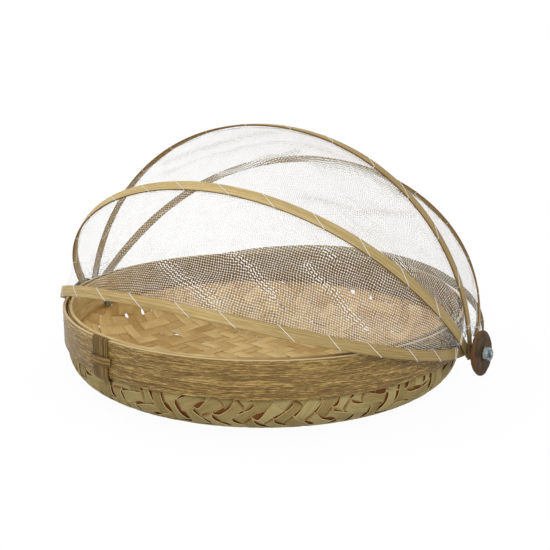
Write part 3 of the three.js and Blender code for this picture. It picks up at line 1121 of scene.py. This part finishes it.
def stitchKnots(index, chance):  # degrees round the hoop, then across and out of the strip
    half = strip["width"] / 2 + stitch["clear"]
    face = strip["thickness"] / 2 + stitch["clear"]
    back = face + net["gap"] + stitch["behind"]
    near, far = [
        [
            (at + stitch["wrapPitch"] * (k + chance.uniform(-0.4, 0.4)), chance.uniform(-0.3, 0.7))
            for k in range(stitch["wrapTurns"])
        ]
        for at in stitch["wraps"]
    ]
    along = [(at, stitch["slant"] * chance.uniform(0.85, 1.15)) for at in stitch["places"][index]]
    knots = []
    if index == 2:  # the loose end of the crown hoop's thread
        knots += [(9.2, -0.0030, 0.0085), (8.3, -0.0026, 0.0052), (7.4, -0.0015, face + 0.0006)]
    for low, slant in near + along + far:
        high = low + slant
        knots += [
            (low, -half * 0.85, -back), (low, -half, -0.0003), (low, -half * 0.97, face),
            (high, half * 0.97, face), (high, half, -0.0003), (high, half * 0.85, -back),
        ]
    return np.array(knots)


def stitches(index):
    knots = stitchKnots(index, np.random.default_rng(60 + index))
    fine = []
    for a, b in zip(knots[:-1], knots[1:]):
        count = max(int(abs(b[0] - a[0]) * 3), 1)
        fine.append(a + (b - a) * np.linspace(0, 1, count, endpoint=False)[:, None])
    fine = np.concatenate(fine)
    centres, _, across, out = hoopFrame(index, np.radians(fine[:, 0]))
    path = centres + across * fine[:, 1:2] + out * fine[:, 2:3]
    points = tube(path, stitch["radius"])
    return makePiece(f"stitches{index + 1}", points, rodFaces(points), sewingThread, sharp=80)


for index, body in enumerate(hood["bodies"]):
    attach(stitches(index), body)
print("stitches sewn")


# Pivots: a bolt through the rim and the hoop ends, a coconut disc and a nut on each side
pivot = {
    "threadPitch": 0.001,
    "threadDepth": 0.0005,
    "boltRadius": 0.003,
    "nutFlats": 0.010,
    "nutSlope": 0.0007,
    "clearance": 0.00035,
    "discDish": 0.0007,
    "discRough": 0.00028,
    "discWorn": 0.0008,
    "lean": -0.09,
    "turn": 0.15,
    "headHeight": 0.0024,
}


def threadedBolt():
    radius = pivot["boltRadius"]
    head, tip = boltLow.x, boltHigh.x
    neck = head + pivot["headHeight"]
    headRadius = (boltHigh.z - boltLow.z) / 2
    dome = [
        (head + pivot["headHeight"] * (1 - math.cos(t)), headRadius * math.sin(t))
        for t in np.linspace(0, math.pi / 2, 9)
    ]
    rows = dome + [(neck, headRadius - 0.0003), (neck, radius)]
    count = int((tip - neck - 0.0008) / pivot["threadPitch"] * 8)
    rows += [(x, radius) for x in np.linspace(neck + 0.0002, tip - 0.0006, count)]
    rows += [(tip, radius - 0.0007), (tip, 0)]

    def shape(angle, along, size):
        turns = (along / pivot["threadPitch"] - angle / (2 * math.pi)) % 1
        groove = (1 - abs(2 * turns - 1)) * pivot["threadDepth"]
        threaded = (along > neck + 0.0001) & (size > radius - 0.0001)
        return along, np.where(threaded, size - groove, size)

    return turnedRows(rows, 32, shape), {}


def washerRing():
    inner = pivot["boltRadius"] + pivot["clearance"]
    outer = (washerHigh.z - washerLow.z) / 2
    low, high, edge = washerLow.x, washerHigh.x, 0.00025
    rows = [
        (low, inner + edge), (low, outer - edge), (low + edge, outer), (high - edge, outer),
        (high, outer - edge), (high, inner + edge), (high - edge, inner), (low + edge, inner),
    ]
    return turnedRows(rows, 48), {}


def hexNut():
    flat = pivot["nutFlats"] / 2
    corner = flat / math.cos(math.pi / 6)
    low, high = nutLow.x, nutHigh.x
    inner = pivot["boltRadius"] + 0.0001
    slope, halfway = pivot["nutSlope"], flat + (corner - flat) * 0.55
    rows = [
        (low, inner + 0.0003), (low, flat * 0.97), (low + slope / 2, halfway),
        (low + slope, corner), (high - slope, corner), (high - slope / 2, halfway),
        (high, flat * 0.97), (high, inner + 0.0005), (high - 0.0005, inner), (low + 0.0005, inner),
    ]

    def shape(angle, along, size):
        side = flat / np.cos((angle + math.pi / 2) % (math.pi / 3) - math.pi / 6)
        return along, np.minimum(size, side)

    points = turnedRows(rows, 120, shape)
    points[..., 0] += leanOnBolt(points)
    return points, {}


def leanOnBolt(points):  # the disc and nut sit askew on the bolt
    return (points[..., 2] - axisHeight) * pivot["lean"] + points[..., 1] * pivot["turn"]


def coconutDisc(seed):
    radius = (discHigh.z - discLow.z) / 2
    low, high = discLow.x, discHigh.x
    inner = pivot["boltRadius"] + pivot["clearance"]
    sizes = np.linspace(inner, radius - 0.0012, 12)
    rim = [
        (high - 0.0004, radius - 0.0004), (high - 0.0011, radius), (high - 0.002, radius),
        (low + 0.0011, radius), (low + 0.0004, radius - 0.0004),
    ]
    rows = [(high, size) for size in sizes] + rim + [(low, size) for size in sizes[::-1]]
    points = turnedRows(rows, 128)
    bumpy = roughness(points, 160, seed) + 0.5 * roughness(points, 420, seed + 1)
    away = points - np.array([0, 0, axisHeight])
    away[..., 0] = 0
    size = np.linalg.norm(away, axis=-1, keepdims=True)
    worn = roughness(points * np.array([0, 1, 1]), 90, seed + 2)
    outerPart = np.clip((size - inner - 0.002) / 0.004, 0, 1)
    points = points + away / size * (worn[..., None] - 1) * pivot["discWorn"] * outerPart
    points[..., 0] += bumpy * pivot["discRough"] * outerPart[..., 0]
    points[..., 0] += leanOnBolt(points)
    size = size[..., 0] / radius
    points[..., 0] -= pivot["discDish"] * size ** 2 * (points[..., 0] > (low + high) / 2)
    return points, {"edge": np.clip((size - 0.8) / 0.2, 0, 1).ravel()}


halfTurn = np.array([-1, -1, 1])
for side, turned, seed in (("right", 1, 7), ("left", halfTurn, 9)):
    for name, (points, values), finish, node, slot in (
        ("bolt", threadedBolt(), zincPlate, "pivot_bolt_", "zinc_steel"),
        ("washer", washerRing(), zincPlate, "bolt_washer_", "zinc_steel"),
        ("nut", hexNut(), zincPlate, "hex_nut_", "zinc_steel"),
        ("disc", coconutDisc(seed), coconutShell, "coconut_disc_", "coconut_shell"),
    ):
        faces = gridFaces(points, loopRows=name != "bolt", loopColumns=True)
        name = name + side.capitalize()
        piece = makePiece(name, points * turned, faces, finish, sharp=35, **values)
        onTray(piece, node + side)
print("pivots set")


# Studio
studio = {
    "worldLight": 0.7,
    "lamps": (
        ("keyLamp", (0.7, -1.15, 1.1), 12, 0.6),
        ("fillLamp", (-1.2, -0.5, 0.9), 3, 1.0),
        ("topLamp", (-0.6, -0.2, 1.4), 2, 1.2),
    ),
    "lampTarget": (0, 0, 0.08),
    "floorWhite": 0.96,
    "floorHalf": 15,
    "floorFade": (0.25, 0.7),
}
white = (1, 1, 1, 1)


def seenDirectly(shader):
    camera, glossy, through = [
        shader.node("ShaderNodeLightPath", {}, {}, f"Is {kind} Ray")
        for kind in ("Camera", "Glossy", "Transmission")
    ]
    return camera.most(glossy).most(through)


def addFloor():
    half = studio["floorHalf"]
    corners = [(-half, -half, 0), (half, -half, 0), (half, half, 0), (-half, half, 0)]
    shader = newShader("floor")
    pale = shader.node("ShaderNodeBsdfDiffuse", {}, {"Color": (0.9, 0.9, 0.9, 1)})
    bright = shader.node("ShaderNodeEmission", {}, {"Color": white, "Strength": 1})
    away = shader.node("ShaderNodeVectorMath", {"operation": "LENGTH"}, [shader.place()], 1)
    share = shader.ease(away, *studio["floorFade"], studio["floorWhite"], 1)
    shade = shader.node("ShaderNodeMixShader", {}, [seenDirectly(shader) * share, pale, bright])
    floor = makePiece("floor", corners, [(0, 1, 2, 3)], shader.finish(shade), closed=False)


def addWorld():
    world = bpy.data.worlds.new("studio")
    shader = Shader(world)
    light, bright = [
        shader.node("ShaderNodeBackground", {}, {"Color": white, "Strength": strength})
        for strength in (studio["worldLight"], 1)
    ]
    shade = shader.node("ShaderNodeMixShader", {}, [seenDirectly(shader), light, bright])
    shader.node("ShaderNodeOutputWorld", {}, {"Surface": shade})
    bpy.context.scene.world = world


def addLamp(name, place, energy, size):
    data = bpy.data.lights.new(name, "AREA")
    data.energy = energy
    data.size = size
    place = Vector(place)
    aimed(name, data, place, Vector(studio["lampTarget"]) - place)


addFloor()
addWorld()
for lamp in studio["lamps"]:
    addLamp(*lamp)
bpy.context.scene.view_settings.view_transform = "Standard"
print("studio lit")
